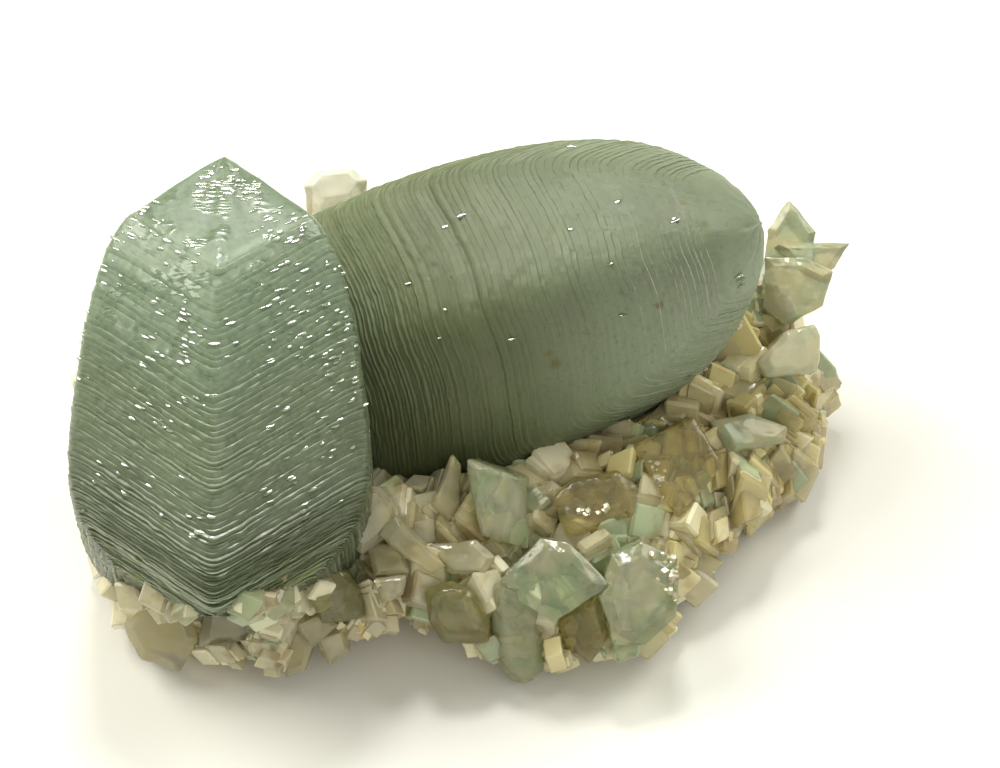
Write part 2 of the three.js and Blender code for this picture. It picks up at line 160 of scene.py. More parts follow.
class SpecimenSizes(bpy.types.PropertyGroup):
    """The sizes that give the specimen its texture."""

    ledge_pitch: FloatProperty(
        name="Ledge pitch", description="Height of the growth ledges, as a share of the real", default=1.0)
    ledge_tread: FloatProperty(
        name="Ledge tread", description="Width of the ledges' treads, as a share of the real", default=1.0)
    raggedness: FloatProperty(
        name="Raggedness", description="How far the ledges wander, as a share of the real", default=1.0)
    corners_round: IntProperty(name="Corners round", description="Points round one ledge", default=380)
    crystal_bevel: FloatProperty(
        name="Crystal bevel", description="Width of the worn edges of the small crystals",
        default=0.14 * MM, unit="LENGTH")
    druse_count: IntProperty(
        name="Druse crystals", description="How many small rhombs are tried over the base", default=5600)
    clump_count: IntProperty(name="Druse clumps", description="How many clumps they stand in", default=150)


def colour_property(name, description, default):
    return FloatVectorProperty(name=name, description=description, default=default, subtype="COLOR")


class SpecimenColours(bpy.types.PropertyGroup):
    """The colours of the calcite and its base."""

    # Painted shade: the large crystals' colours are laid on by height. The steep one goes from celadon high
    # up through deep green to olive at its foot; the lying one is painted darker on top than on its flank.
    celadon: colour_property("Celadon", "Pale green of the steep crystal", (0.150, 0.190, 0.125))
    deep_green_painted_shade: colour_property("Deep green", "Darker green low on the steep crystal", (0.098, 0.128, 0.073))
    olive: colour_property("Olive", "Olive tone near the foot of both large crystals", (0.060, 0.074, 0.027))
    lying_top_painted_shade: colour_property("Lying green", "Upper side of the lying crystal", (0.056, 0.070, 0.034))
    lying_flank_green: colour_property("Lying deep green", "Flank of the lying crystal", (0.112, 0.136, 0.062))
    blue_green: colour_property("Blue green", "Cloudy parts of the green rhombs", (0.54, 0.68, 0.43))
    honey: colour_property("Honey", "Iron-tinted clear calcite", (0.78, 0.67, 0.32))
    milky: colour_property("Milky", "Milky calcite", (0.90, 0.84, 0.61))
    iron: colour_property("Iron stain", "Brown iron stain", (0.42, 0.27, 0.07))


def shown(context):
    return context.scene.specimen_sizes, context.scene.specimen_colours


# Small tools for mesh work.

def deselect_all():
    if bpy.context.object and bpy.context.object.mode != "OBJECT":
        bpy.ops.object.mode_set(mode="OBJECT")
    bpy.ops.object.select_all(action="DESELECT")


def make_active(piece):
    deselect_all()
    piece.select_set(True)
    bpy.context.view_layer.objects.active = piece


def edit_all(piece):
    """Opens a piece in edit mode with all of it selected."""
    make_active(piece)
    bpy.ops.object.mode_set(mode="EDIT")
    bpy.ops.mesh.select_all(action="SELECT")


def new_object(name, data):
    made = bpy.data.objects.new(name, data)
    bpy.context.scene.collection.objects.link(made)
    return made


def points_of(piece):
    points = np.empty(len(piece.data.vertices) * 3)
    piece.data.vertices.foreach_get("co", points)
    return points.reshape(-1, 3)


def move_points(piece, points):
    piece.data.vertices.foreach_set("co", points.ravel())
    piece.data.update()


def keep(piece, material, slot, *nodes):
    """Gives a finished piece its material, hangs it under the root and hides the CAD nodes that it stands
    for. The slot is not used.
    """
    piece.data.materials.clear()
    piece.data.materials.append(material)
    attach(piece, "root")
    if nodes:
        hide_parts(*nodes)


def merged_copy(node, name):
    """A copy of a CAD node's mesh with its loose triangles joined."""
    piece = new_object(name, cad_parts[node].data.copy())
    edit_all(piece)
    bpy.ops.mesh.remove_doubles(threshold=CLOSE)
    bpy.ops.mesh.dissolve_limited(angle_limit=math.radians(1))
    bpy.ops.object.mode_set(mode="OBJECT")
    return piece


def add_modifier(piece, kind, **settings):
    """Adds a modifier with its settings and applies it."""
    make_active(piece)
    modifier = piece.modifiers.new(kind.title(), kind)
    for setting, value in settings.items():
        setattr(modifier, setting, value)
    bpy.ops.object.modifier_apply(modifier=modifier.name)


def cloud_texture(name, size, depth=2):
    texture = bpy.data.textures.new(name, "CLOUDS")
    texture.noise_scale = size
    texture.noise_depth = depth
    return texture


def mesh_tree(data):
    """A mesh's faces in a tree, to find what a line meets or what lies near."""
    return BVHTree.FromPolygons([vertex.co for vertex in data.vertices],
                                [list(polygon.vertices) for polygon in data.polygons])


def tree_of(node):
    return mesh_tree(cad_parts[node].data)


def seen_on(tree, right, up):
    """The point of a mesh that is seen at a place, or None."""
    return tree.ray_cast(seen_place(right, up, 60), -seen_way(0, 0, 1))[0]


def mark_points(mesh, name, values):
    """Gives each point of a mesh a number that its finish can read."""
    mesh.attributes.new(name, "FLOAT", "POINT").data.foreach_set("value", values)


def worn_shape(add, wear, **settings):
    """Adds a primitive of about size 1 and wears its edges."""
    deselect_all()
    add(**settings)
    piece = bpy.context.object
    bpy.ops.object.mode_set(mode="EDIT")
    bpy.ops.mesh.bevel(offset=wear, segments=1)
    bpy.ops.object.mode_set(mode="OBJECT")
    return piece


def take_out(piece):
    """Removes a shape from the scene, and gives its points and faces."""
    points = points_of(piece).copy()
    faces = [list(polygon.vertices) for polygon in piece.data.polygons]
    bpy.data.objects.remove(piece)
    return points, faces


def many_copies(name, shapes, faces, mark, values):
    """One mesh of many small shapes with the same faces, each marked with its own number."""
    count = len(shapes[0])
    mesh = bpy.data.meshes.new(name)
    mesh.from_pydata(np.concatenate(shapes), [],
                     [[corner + k * count for corner in face] for k in range(len(shapes)) for face in faces])
    mark_points(mesh, mark, np.repeat(values, count))
    piece = new_object(name, mesh)
    edit_all(piece)
    bpy.ops.mesh.normals_make_consistent(inside=False)
    bpy.ops.object.mode_set(mode="OBJECT")
    return piece


def stood(random, way):
    """A turn that stands an upright shape along that way, spun by chance."""
    return Vector((0, 0, 1)).rotation_difference(way).to_matrix() @ Matrix.Rotation(
        random.uniform(0, math.tau), 3, "Z")


def times(colour, share):
    """A colour made lighter or darker."""
    return [share * part for part in colour]


# Materials.

class Value:
    """A socket that shader maths can be written with."""

    def __init__(self, finish, socket):
        self.finish = finish
        self.socket = socket

    def maths(self, operation, first, second):
        return self.finish.node("ShaderNodeMath", {"operation": operation}, {0: first, 1: second})

    def __add__(self, other):
        return self.maths("ADD", self, other)

    def __radd__(self, other):
        return self.maths("ADD", other, self)

    def __rsub__(self, other):
        return self.maths("SUBTRACT", other, self)

    def __mul__(self, other):
        return self.maths("MULTIPLY", self, other)

    def __rmul__(self, other):
        return self.maths("MULTIPLY", other, self)


class Finish:
    """A material under construction, with its main shader."""

    def __init__(self, name, **settings):
        self.material = bpy.data.materials.new(name)
        self.material.use_nodes = True
        self.tree = self.material.node_tree
        self.shader = self.tree.nodes["Principled BSDF"]
        for socket, value in settings.items():
            self.shader.inputs[socket.replace("_", " ")].default_value = value
        self.where = self.node("ShaderNodeTexCoord", output="Object")

    def node(self, kind, settings=None, sockets=None, output=0):
        """Adds a node: its settings first, then the values or links of its sockets."""
        made = self.tree.nodes.new(kind)
        for setting, value in (settings or {}).items():
            setattr(made, setting, value)
        for socket, value in (sockets or {}).items():
            self.join(made.inputs[socket], value)
        return Value(self, made.outputs[output])

    def join(self, socket, value):
        if isinstance(value, Value):
            self.tree.links.new(value.socket, socket)
        else:
            socket.default_value = value

    def set(self, socket, value):
        self.join(self.shader.inputs[socket], value)

    def noise(self, size, detail=3.0, roughness=0.55, stretch=(1, 1, 1)):
        """Noise whose blotches are about that size in metres."""
        where = self.where
        if stretch != (1, 1, 1):
            where = self.node("ShaderNodeMapping", sockets={"Vector": where, "Scale": stretch})
        return self.node("ShaderNodeTexNoise", sockets={
            "Vector": where, "Scale": 1 / size, "Detail": detail, "Roughness": roughness})

    def cells(self, size, distance="EUCLIDEAN", randomness=1.0):
        return self.node("ShaderNodeTexVoronoi", {"distance": distance},
                         {"Vector": self.where, "Scale": 1 / size, "Randomness": randomness})

    def ramp(self, value, low, high):
        """0 below low, 1 above high, smooth between."""
        return self.node("ShaderNodeMapRange", {"interpolation_type": "SMOOTHSTEP"},
                         {"Value": value, "From Min": low, "From Max": high})

    def mix(self, factor, first, second):
        made = self.tree.nodes.new("ShaderNodeMix")
        made.data_type = "RGBA"
        self.join(made.inputs[0], factor)
        for socket, colour in ((made.inputs[6], first), (made.inputs[7], second)):
            self.join(socket, colour if isinstance(colour, Value) else (*colour[:3], 1))
        return Value(self, made.outputs[2])

    def height(self):
        """How high a point is, in metres."""
        return self.node("ShaderNodeSeparateXYZ", sockets={0: self.where}, output="Z")

    def mark(self, name):
        """The number that the mesh's points are marked with under that name."""
        return self.node("ShaderNodeAttribute", {"attribute_name": name}, output="Fac")

    def near(self, place, reach):
        """1 at a place, fading to 0 at about that reach from it."""
        gap = self.node("ShaderNodeVectorMath", {"operation": "DISTANCE"}, {0: self.where, 1: tuple(place)},
                        "Value")
        return self.ramp(gap + self.noise(0.8 * MM) * (0.8 * reach), 1.3 * reach, 0.5 * reach)

    def bump(self, height, strength, distance):
        self.set("Normal", self.node("ShaderNodeBump", sockets={
            "Height": height, "Strength": strength, "Distance": distance}))


SPOT_BROWN = (0.11, 0.095, 0.022)


def celadon_finish(name, pale, deep, olive, tip_tint_and_light_colour, painted_shade_heights, rough, gloss, glint, spots=()):
    """Waxy green calcite: cloudy, with painted highlights along its ledges, and painted shade that deepens it
    toward an olive base.

    The shade heights are the heights in millimetres at which its painted shade is olive, deep and pale; on
    the lying crystal the painted shade makes its top darker than its flank. Patches of it are smoother than
    rough by gloss, and their ripples are glint millimetres deep.
    """
    finish = Finish(name, IOR=1.55, Subsurface_Weight=0.5, Subsurface_Radius=(1.0, 1.2, 0.8),
                    Subsurface_Scale=1.1 * MM)
    # Painted shade: the colour changes with height, from pale through deep to olive, for how the light falls
    # on the crystal.
    height = finish.height() + finish.noise(7 * MM) * (6 * MM)
    low, middle, high = (tone * MM for tone in painted_shade_heights)
    colour = finish.mix(finish.ramp(height, middle, high), deep, pale)
    colour = finish.mix(finish.ramp(height, middle, low), colour, olive)
    clouds = finish.ramp(finish.noise(3.5 * MM), 0.4, 0.65)
    colour = finish.mix(clouds * 0.25, colour, pale)
    # The tip's colour is partly the crystal's own bluish tint and partly painted light: the lying crystal's
    # end is painted pale as if lit through, and high up less of it is laid on, as painted shade.
    tinted = finish.ramp(finish.mark("tip"), 0, 1) * (0.8 - 0.6 * finish.ramp(height, middle, high))
    colour = finish.mix(tinted, colour, tip_tint_and_light_colour)
    # Painted highlight: the outer edge of every ledge is painted paler. That paleness and the pale grain fade
    # toward the base, as painted shade; the same fade thins the glossy patches.
    upper = 0.25 + 0.75 * finish.ramp(height, low, high)
    lighter = times(pale, 1.7)
    colour = finish.mix(finish.mark("ledge") * upper * 0.35, colour, lighter)
    grain = finish.noise(0.45 * MM, 4)
    colour = finish.mix(finish.ramp(grain, 0.5, 0.75) * upper * 0.25, colour, lighter)
    colour = finish.mix(finish.ramp(grain, 0.5, 0.3) * 0.3, colour, olive)
    for place, reach in spots:
        colour = finish.mix(finish.near(place, reach) * 0.85, colour, SPOT_BROWN)
    # Painted highlight: the small steps are painted far paler than the crystal around them.
    step = finish.mark("step")
    colour = finish.mix(step * 0.6, colour, times(pale, 2.2))
    finish.set("Base Color", colour)
    # Rippled patches glint, and the flats between them don't face the lamp. The steps are smooth all over.
    patches = finish.ramp(finish.noise(2.4 * MM, 2), 0.5, 0.6) * upper
    finish.set("Roughness", (rough - gloss * patches) * (1 - step) + 0.1 * step)
    ripples = finish.noise(0.27 * MM, 1, 0.4, (0.25, 1, 1))
    finish.bump((patches * ripples + 0.15 * finish.noise(0.3 * MM, 2)) * (1 - step), 1.0, glint * MM)
    return finish.material


def absorb(finish, colour, density):
    """Tints what shines through a clear piece, by how far it comes."""
    volume = finish.node("ShaderNodeVolumeAbsorption", sockets={"Color": (*colour, 1), "Density": density})
    finish.tree.links.new(volume.socket, finish.tree.nodes["Material Output"].inputs["Volume"])


def rhomb_finish(name, cloudy, clear, colours, clearness):
    """A small crystal: see-through, with cloudy parts, veils and iron stains."""
    finish = Finish(name, IOR=1.5, Transmission_Weight=clearness, Subsurface_Weight=0.15,
                    Subsurface_Radius=(1, 1, 1), Subsurface_Scale=1.2 * MM)
    clouds = finish.ramp(finish.noise(2.6 * MM), 0.38, 0.62)
    colour = finish.mix(clouds, clear, cloudy)
    veils = finish.ramp(finish.noise(1.1 * MM, 4, 0.6, (1, 0.3, 2.2)), 0.52, 0.7)
    colour = finish.mix(veils * 0.3, colour, (0.85, 0.84, 0.76))
    stain = finish.ramp(finish.noise(3.2 * MM, 4), 0.56, 0.7)
    colour = finish.mix(stain * 0.35, colour, colours.honey)
    finish.set("Base Color", colour)
    finish.set("Roughness", 0.02 + 0.3 * finish.noise(1.0 * MM, 3))
    plates = finish.cells(1.3 * MM, "CHEBYCHEV", 0.8)
    finish.bump(finish.noise(1.4 * MM, 2, 0.4) + 0.3 * plates, 1.0, 0.07 * MM)
    absorb(finish, clear, 60)
    return finish.material


def druse_finish(name, colours, clearness):
    """The small druse: each crystal has its own tint, from green over milky to honey."""
    finish = Finish(name, IOR=1.5, Transmission_Weight=clearness, Subsurface_Weight=0.15,
                    Subsurface_Radius=(1.2, 1, 0.7), Subsurface_Scale=1.2 * MM)
    tint = finish.mark("tint")
    colour = finish.mix(finish.ramp(tint, 0.1, 0.95), colours.milky, colours.honey)
    colour = finish.mix(finish.ramp(tint, 0.12, 0.02) * 0.8, colour, colours.blue_green)
    stain = finish.ramp(finish.noise(3 * MM, 4), 0.5, 0.66)
    colour = finish.mix(stain * 0.5, colour, colours.iron)
    finish.set("Base Color", colour)
    finish.set("Roughness", 0.03 + 0.16 * finish.noise(0.9 * MM))
    finish.bump(finish.noise(0.6 * MM, 3), 1.0, 0.05 * MM)
    return finish.material


def matrix_finish(name, colours):
    """Tan, rough calcite ground with iron stains."""
    finish = Finish(name, IOR=1.5)
    coarse = finish.ramp(finish.noise(4 * MM, 5), 0.35, 0.68)
    colour = finish.mix(coarse, (0.54, 0.42, 0.15), (0.70, 0.59, 0.30))
    stain = finish.ramp(finish.noise(2.2 * MM, 4), 0.46, 0.62)
    colour = finish.mix(stain * 0.6, colour, colours.iron)
    finish.set("Base Color", colour)
    finish.set("Roughness", 0.2 + 0.4 * finish.noise(0.9 * MM))
    finish.bump(finish.noise(0.8 * MM, 5) + finish.cells(1.1 * MM), 1.0, 0.3 * MM)
    return finish.material


# Brown marks and dark specks on the lying crystal, as seen: right, up and width in millimetres.
STAINS = ((7.1, 4.3, 1.0), (6.7, 5.0, 0.6), (15.0, 8.6, 0.6), (18.4, 14.8, 0.5), (16.9, 16.4, 0.5),
          (6.5, 13.6, 0.4), (3.0, 18.5, 0.2), (-1.9, 14.6, 0.22), (14.5, 18.1, 0.2), (15.4, 17.8, 0.2),
          (15.2, 15.6, 0.2), (2.2, 6.2, 0.22), (10.6, 0.9, 0.22))


# The large crystals.

def standing(form):
    """The matrix that stands a crystal made along Z as its axis, spin and tip say."""
    up = seen_way(*form["axis"]).normalized()
    to_eye = seen_way(0, 0, 1)
    front = (to_eye - up * to_eye.dot(up)).normalized()
    front.rotate(Matrix.Rotation(-math.radians(form["spin"]), 3, up))
    side = up.cross(front)
    basis = Matrix((front, side, up)).transposed().to_4x4()
    return Matrix.Translation(seen_place(*form["tip"])) @ basis


def outline_radius(outline, depth):
    """The crystal's radius at a depth below its tip, from a smooth curve through its outline."""
    depths = np.array([point[0] for point in outline]) * MM
    radii = np.array([point[1] for point in outline]) * MM
    slopes = np.gradient(radii, depths)
    k = int(np.clip(np.searchsorted(depths, depth) - 1, 0, len(depths) - 2))
    span = depths[k + 1] - depths[k]
    t = np.clip((depth - depths[k]) / span, 0, 1)
    return float((2 * t**3 - 3 * t**2 + 1) * radii[k] + (t**3 - 2 * t**2 + t) * span * slopes[k]
                 + (3 * t**2 - 2 * t**3) * radii[k + 1] + (t**3 - t**2) * span * slopes[k + 1])


def spun_column(name, profile, around):
    """A column turned from its profile of (radius, height) points."""
    deselect_all()
    bpy.ops.mesh.primitive_plane_add(size=MM)
    piece = bpy.context.object
    piece.name = piece.data.name = name
    bpy.ops.object.mode_set(mode="EDIT")
    bpy.ops.mesh.merge(type="CENTER")
    bpy.ops.transform.translate(value=(profile[0][0], 0, profile[0][1]))
    for (radius, height), (next_radius, next_height) in zip(profile, profile[1:]):
        step = (next_radius - radius, 0, next_height - height)
        bpy.ops.mesh.extrude_region_move(TRANSFORM_OT_translate={"value": step})
    bpy.ops.mesh.select_all(action="SELECT")
    bpy.ops.mesh.spin(steps=around, angle=math.tau, center=(0, 0, 0), axis=(0, 0, 1))
    bpy.ops.mesh.select_all(action="SELECT")
    bpy.ops.mesh.remove_doubles(threshold=0.0005 * MM)
    bpy.ops.mesh.normals_make_consistent(inside=False)
    bpy.ops.object.mode_set(mode="OBJECT")
    return piece


def wander(random, rows, columns, kept):
    """Rows of smooth random values round a ring. Each row keeps that share of the row above it."""
    grid = np.zeros((rows, columns))
    row = random.standard_normal(columns)
    for k in range(rows):
        row = kept * row + math.sqrt(1 - kept**2) * random.standard_normal(columns)
        grid[k] = row
    return grid


def read_round(grid, rows, turn):
    """The values of a wander grid at those rows and turns, from 0 to 1 round the ring."""
    columns = grid.shape[1]
    place = turn * columns
    low = np.floor(place).astype(int)
    share = place - low
    share = share * share * (3 - 2 * share)
    return grid[rows, low % columns] * (1 - share) + grid[rows, (low + 1) % columns] * share


def barrel(name, form, sizes, seed):
    """A large crystal: ledges of slightly different height and reach round a tapering column."""
    random = np.random.default_rng(seed)
    outline = form["outline"]
    last = outline[-1][0] * MM
    pitch = form["pitch"] * MM * sizes.ledge_pitch
    tread = form["tread"] * MM * sizes.ledge_tread
    ragged = form["ragged"] * MM * sizes.raggedness
    # The ledges are evenly spaced along the outline, so they crowd where it turns in at the tip.
    course = np.linspace(0, last, 400)
    length = np.concatenate([[0], np.cumsum(np.hypot(np.diff(course), np.diff(
        [outline_radius(outline, depth) for depth in course])))])
    steps = random.uniform(*PITCH_RANGE, int(length[-1] / pitch))
    depths = np.interp(np.concatenate([[0], np.cumsum(steps)]) * length[-1] / steps.sum(), length, course)
    radii = [outline_radius(outline, depth) for depth in depths]
    # Above the first ledge the rings lie in the three top faces. Every ledge has an outer and an inner ring,
    # and the inner one is set back square to the outline.
    top = [(share * radii[0], 0.0, -1) for share in np.linspace(0, 0.92, 8)]
    run = np.hypot(np.diff(depths), np.diff(radii))
    outward, upward = np.diff(depths) / run, np.diff(radii) / run
    back = tread * random.uniform(*TREAD_RANGE, len(run))
    jut = tread * random.uniform(*JUT_RANGE, len(run))
    jut[0] = 0
    rings = []
    for k in range(len(run)):
        rings.append((radii[k] + jut[k] * outward[k], -depths[k] + jut[k] * upward[k], k))
        rings.append((radii[k + 1] - back[k] * outward[k], -depths[k + 1] - back[k] * upward[k], k))
    foot = [(0.5 * radii[-1], -last, len(depths)), (0.0, -last - 0.6 * FACES_FALL * radii[-1], len(depths))]
    rows = top + rings + foot
    piece = spun_column(name, [(radius, height) for radius, height, _ in rows], sizes.corners_round)

    # Each point finds its ring by its radius and height, and moves with its ledge.
    points = points_of(piece)
    reach = np.hypot(points[:, 0], points[:, 1])
    turn = np.arctan2(points[:, 1], points[:, 0])
    share = (turn / math.tau) % 1
    known = {(round(radius / CLOSE), round(height / CLOSE)): k for k, (radius, height, _) in enumerate(rows)}
    nearby = [(i, j) for i in (0, -1, 1) for j in (0, -1, 1)]
    at = np.array([min(known.get((round(radius / CLOSE) + i, round(height / CLOSE) + j), len(rows))
                       for i, j in nearby) for radius, height in zip(reach, points[:, 2])])
    if at.max() == len(rows):
        raise RuntimeError(name + ": a point lies on no ledge")
    layer = np.array([each for _, _, each in rows])[at]
    outer = np.array([len(top) <= k < len(rows) - len(foot) and (k - len(top)) % 2 == 0
                      for k in range(len(rows))])[at]
    count = len(depths) + 1

    def roving(bends, kept):
        """Smooth random values at the points, with that many bends round a ledge."""
        return read_round(wander(random, count, bends, kept), layer, share)

    fine = roving(110, 0.1)
    middling = roving(40, 0.7)
    broad = roving(12, 0.93)
    moving = (layer >= 0) & (layer < len(depths))
    # In calm stretches the ledges are hardly set back, and they start faint below the tip.
    ledge_of = np.clip(layer, 0, len(run) - 1)
    calm = form["calm"] - CALM_SWING * roving(9, 0.96) - form["lee"] * np.sin(turn)
    below_tip = np.clip(1 - depths[ledge_of] / FAINT_DEPTH, 0, 1)
    filled = moving * ~outer * np.clip(calm + form["faint"] * below_tip, *CALM_RANGE) * back[ledge_of]
    points[:, 2] += filled * upward[ledge_of]
    new_reach = reach + filled * outward[ledge_of] + moving * ragged * (fine + 0.4 * middling + 0.3 * broad)
    # The section is a hexagon with its corners softened over that many degrees.
    from_corner = np.hypot(30 - np.abs(np.degrees(turn) % 60 - 30), form["corner"])
    new_reach *= FLATS / np.cos(np.radians(30 - from_corner))
    # The three top faces fall away from the tip, and meet in soft edges.
    swell = read_round(wander(random, len(top) + 1, 30, 0.5), np.minimum(at, len(top)), share)
    on_top = ~moving & (reach > 0.1 * MM) & (points[:, 2] > -0.01 * MM)
    fold = 60 - np.hypot(60 - np.abs((np.degrees(turn) + 60) % 120 - 60), form["softness"])
    blunt = form["blunt"] * MM
    sharp_share = BLUNT_REACH / (math.hypot(BLUNT_REACH, blunt) - blunt)
    fall = (np.hypot(new_reach, blunt) - blunt) * sharp_share
    points[:, 2] -= FACES_FALL * fall * np.cos(np.radians(fold)) + on_top * TOP_SWELL * swell
    points[:, :2] *= (new_reach / np.maximum(reach, 1e-9))[:, None]
    move_points(piece, points)
    # The outer ring of each ledge is marked, so that the finish paints a highlight along it.
    mark_points(piece.data, "ledge", outer.astype(float))
    depth = np.concatenate([np.repeat(0, len(top)), np.repeat(depths[:-1], 2), np.repeat(last, len(foot))])
    # How near the tip a point is, for the tip's own tint and its painted light.
    mark_points(piece.data, "tip", np.clip(1 - depth[at] / TIP_TINT_AND_LIGHT_REACH, 0, 1))
    piece.data.transform(standing(form))
    piece.data.update()
    return piece


def glint_turn(random, place, spread):
    """A turn that makes a level facet mirror the lamp into the eye, give or take that spread."""
    facing = ((EYE - place).normalized() + (GLINT_LAMP - place).normalized()).normalized()
    facing = (facing + Vector(random.normal(0, spread, 3))).normalized()
    return Vector((0, 0, 1)).rotation_difference(facing).to_matrix()


# Where the steep crystal glints, as seen: right and up in millimetres, width, height and how many steps.
STEEP_GLINTS = ((-17.2, 17.9, 4.6, 3.1, 75), (-13.5, 14.8, 4.2, 3.6, 34), (-23.1, 14.8, 2.6, 2.9, 22),
                (-20.3, 12.3, 3.4, 2.1, 16), (-25.6, 11.8, 1.8, 4.2, 12), (-21.5, 6.5, 3.6, 5.2, 28),
                (-18.1, 5.8, 4.0, 3.2, 12), (-11.5, 7.8, 6.4, 7.7, 66), (-8.5, 4.5, 3.0, 9.0, 26),
                (-18.8, 1.5, 2.6, 1.0, 7), (-22.8, 0.8, 5.2, 3.4, 14), (-11.2, -2.4, 7.0, 8.5, 24),
                (-26.8, -4.8, 5.0, 3.8, 9), (-19.9, -6.8, 5.5, 6.0, 12), (-27.8, 5.8, 1.2, 6.0, 12))
# The same for the lying crystal.
LYING_GLINTS = ((8.7, 21.1, 0.5, 0.4, 4), (21.3, 10.6, 0.6, 0.9, 7), (0.1, 15.5, 0.4, 0.2, 2),
                (16.0, 15.0, 0.3, 0.2, 2), (12.2, 7.9, 0.3, 0.3, 2), (5.0, 10.0, 20.0, 16.0, 10),
                (8.0, -3.4, 6.0, 1.3, 26), (14.0, -0.6, 5.0, 1.7, 26), (19.3, 2.6, 4.0, 2.0, 22))
# The steps' lengths, widths and thickness in millimetres, and how far they turn from the lamp's glint.
STEP_LENGTHS = (0.3, 1.0)
STEP_WIDTHS = (0.16, 0.42)
STEP_THICK = 0.05
STEP_SPREAD = 0.04
# The ledges rise by this slope to either side of the steep crystal's middle, up to the foot of its top faces.
LEDGE_SLOPE = math.radians(28)
STEEP_MIDDLE = -18
STEEP_TOP = 16


def add_steps(piece, places, seed):
    """Adds small steps to a large crystal where they glint: short level shelves that run along its ledges."""
    random = np.random.default_rng(seed)
    tree = mesh_tree(piece.data)
    # A step is a flat plate with worn edges.
    points, faces = take_out(worn_shape(bpy.ops.mesh.primitive_cylinder_add, 0.1, vertices=7, radius=0.5,
                                        depth=1))
    shapes = []
    for right, up, wide, tall, number in places:
        for _ in range(number):
            across, along = random.uniform(-0.5, 0.5, 2) * (wide, tall)
            hit = seen_on(tree, right + across, up + along)
            if hit is None:
                continue
            slope = LEDGE_SLOPE * np.clip((right + across - STEEP_MIDDLE) / 2, -1, 1) * (up < STEEP_TOP)
            length, width = random.uniform(*STEP_LENGTHS) * MM, random.uniform(*STEP_WIDTHS) * MM
            turn = glint_turn(random, hit, STEP_SPREAD)
            along_ledge = turn.transposed() @ seen_way(math.cos(slope), math.sin(slope), 0)
            spin = Matrix.Rotation(math.atan2(along_ledge.y, along_ledge.x), 3, "Z")
            shape = points * (length, width, STEP_THICK * MM)
            shapes.append(shape @ np.array(turn @ spin).T + np.array(hit))
    # The steps are marked, so that their finish paints them pale as a highlight and makes them smooth.
    many_copies(piece.name + "_steps", shapes, faces, "step", np.ones(len(shapes)))
    piece.select_set(True)
    bpy.context.view_layer.objects.active = piece
    bpy.ops.object.join()


def bisect_away(piece, point, outward):
    """Cuts a piece off flat beyond a plane and closes it."""
    edit_all(piece)
    bpy.ops.mesh.bisect(plane_co=point, plane_no=outward, use_fill=True, clear_outer=True)
    bpy.ops.object.mode_set(mode="OBJECT")


class SPECIMEN_OT_left_crystal(bpy.types.Operator):
    """Builds the steep green crystal"""

    bl_idname = "specimen.left_crystal"
    bl_label = "Steep crystal"

    def execute(self, context):
        sizes, colours = shown(context)
        piece = barrel("steep_crystal", LARGE["left_crystal"], sizes, seed=11)
        bisect_away(piece, (0, 0, FLOOR_TRIM), (0, 0, -1))
        bisect_away(piece, seen_place(0, STEEP_FOOT, 0), seen_way(0, -1, 0))
        add_steps(piece, STEEP_GLINTS, seed=5)
        make_active(piece)
        bpy.ops.object.shade_smooth_by_angle(angle=LEDGE_EDGES)
        # Painted shade: the steep crystal's foot gets a darker olive than the lying one's.
        finish = celadon_finish("steep_celadon", colours.celadon, colours.deep_green_painted_shade,
                                times(colours.olive, 0.62), tip_tint_and_light_colour=(0.12, 0.19, 0.13),
                                painted_shade_heights=(17, 28, 36), rough=0.4, gloss=0.25, glint=0.03)
        keep(piece, finish, "large_calcite", "left_crystal")
        return {"FINISHED"}


class SPECIMEN_OT_right_crystal(bpy.types.Operator):
    """Builds the lying green crystal"""

    bl_idname = "specimen.right_crystal"
    bl_label = "Lying crystal"

    def execute(self, context):
        sizes, colours = shown(context)
        piece = barrel("lying_crystal", LARGE["right_crystal"], sizes, seed=23)
        bisect_away(piece, (0, 0, FLOOR_TRIM), (0, 0, -1))
        add_steps(piece, LYING_GLINTS, seed=6)
        make_active(piece)
        bpy.ops.object.shade_smooth_by_angle(angle=LEDGE_EDGES)
        shell = mesh_tree(piece.data)
        spots = [(seen_on(shell, right, up), wide * MM) for right, up, wide in STAINS]
        # Painted shade: the lying crystal's top is painted darker than its flank.
        finish = celadon_finish("lying_celadon", colours.lying_top_painted_shade, colours.lying_flank_green, colours.olive,
                                tip_tint_and_light_colour=(0.24, 0.29, 0.205), painted_shade_heights=(5, 22, 34), rough=0.55, gloss=0.05,
                                glint=0.04, spots=spots)
        keep(piece, finish, "large_calcite", "right_crystal")
        return {"FINISHED"}


# The small crystals that can be told apart, by the record's slots.
GREENISH = ("blue_rhomb", "centre_rhomb", "corner_rhomb", "front_prism", "front_rhomb", "grey_rhomb")
HONEYED = ("honey_rhomb", "amber_rhomb", "right_rhomb", "right_slab", "edge_rhomb", "blade_cluster")
MILKY = ("white_fan", "fan_block", "foot_rhomb", "foot_block", "rim_chip", "block_cluster", "pink_crystal",
         "wedge_crystal", "back_crystal", "side_crystal")
# These are worn rounder than the rest, by so many times.
WORN = {"back_crystal": 8, "side_crystal": 5, "front_prism": 3}
# The swells in their faces: how broad they are and how far they rise.
FACE_SWELLS = 1.6 * MM
FACE_RISE = 0.35 * MM


